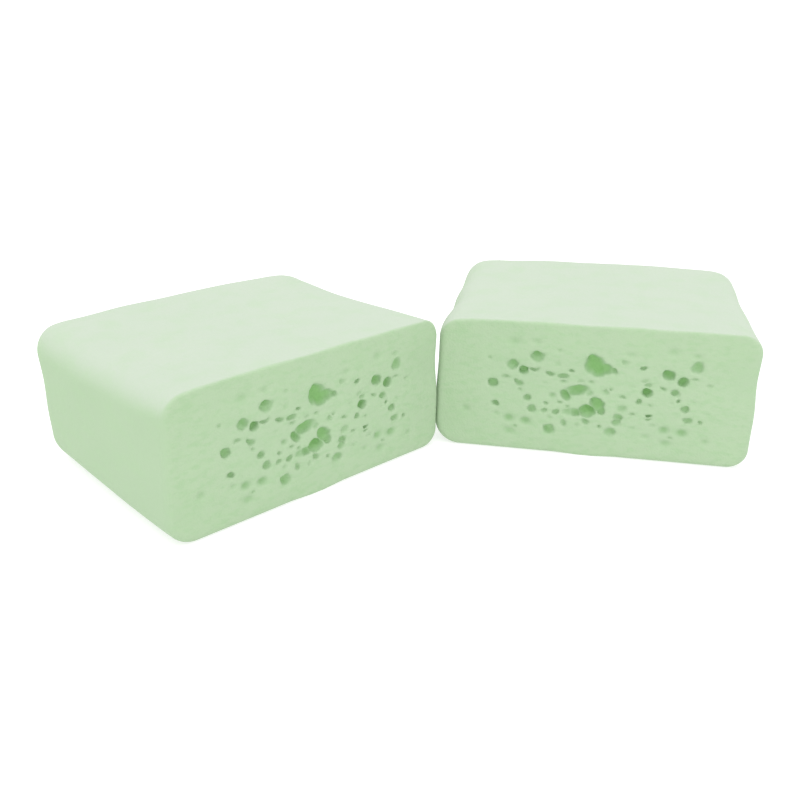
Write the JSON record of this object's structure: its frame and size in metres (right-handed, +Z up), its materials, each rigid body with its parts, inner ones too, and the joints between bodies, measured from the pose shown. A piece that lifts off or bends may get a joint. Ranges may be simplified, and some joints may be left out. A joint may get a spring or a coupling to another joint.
{
  "type": "floral foam brick",
  "caption": "Soft-edged rectangular bricks of pale green open-celled flower-arranging foam, with a flat cut face showing large bubbles and a flat base.",
  "frame": {"origin": "middle of the left brick's flat base", "axes": "+Z up, +X along the left brick's cut face towards the right brick, -Y out of the left brick's cut face"},
  "size_m": [0.2412, 0.1756, 0.0497],
  "materials": {
    "foam": "matte"
  },
  "bodies": {
    "left_brick": {"left_brick": "foam"},
    "right_brick": {"right_brick": "foam"}
  },
  "joints": [
    {"name": "right_brick_lift", "type": "slide", "parent": "left_brick", "child": "right_brick", "axis": [0, 0, 1], "range_m": [0, 0.08]}
  ]
}
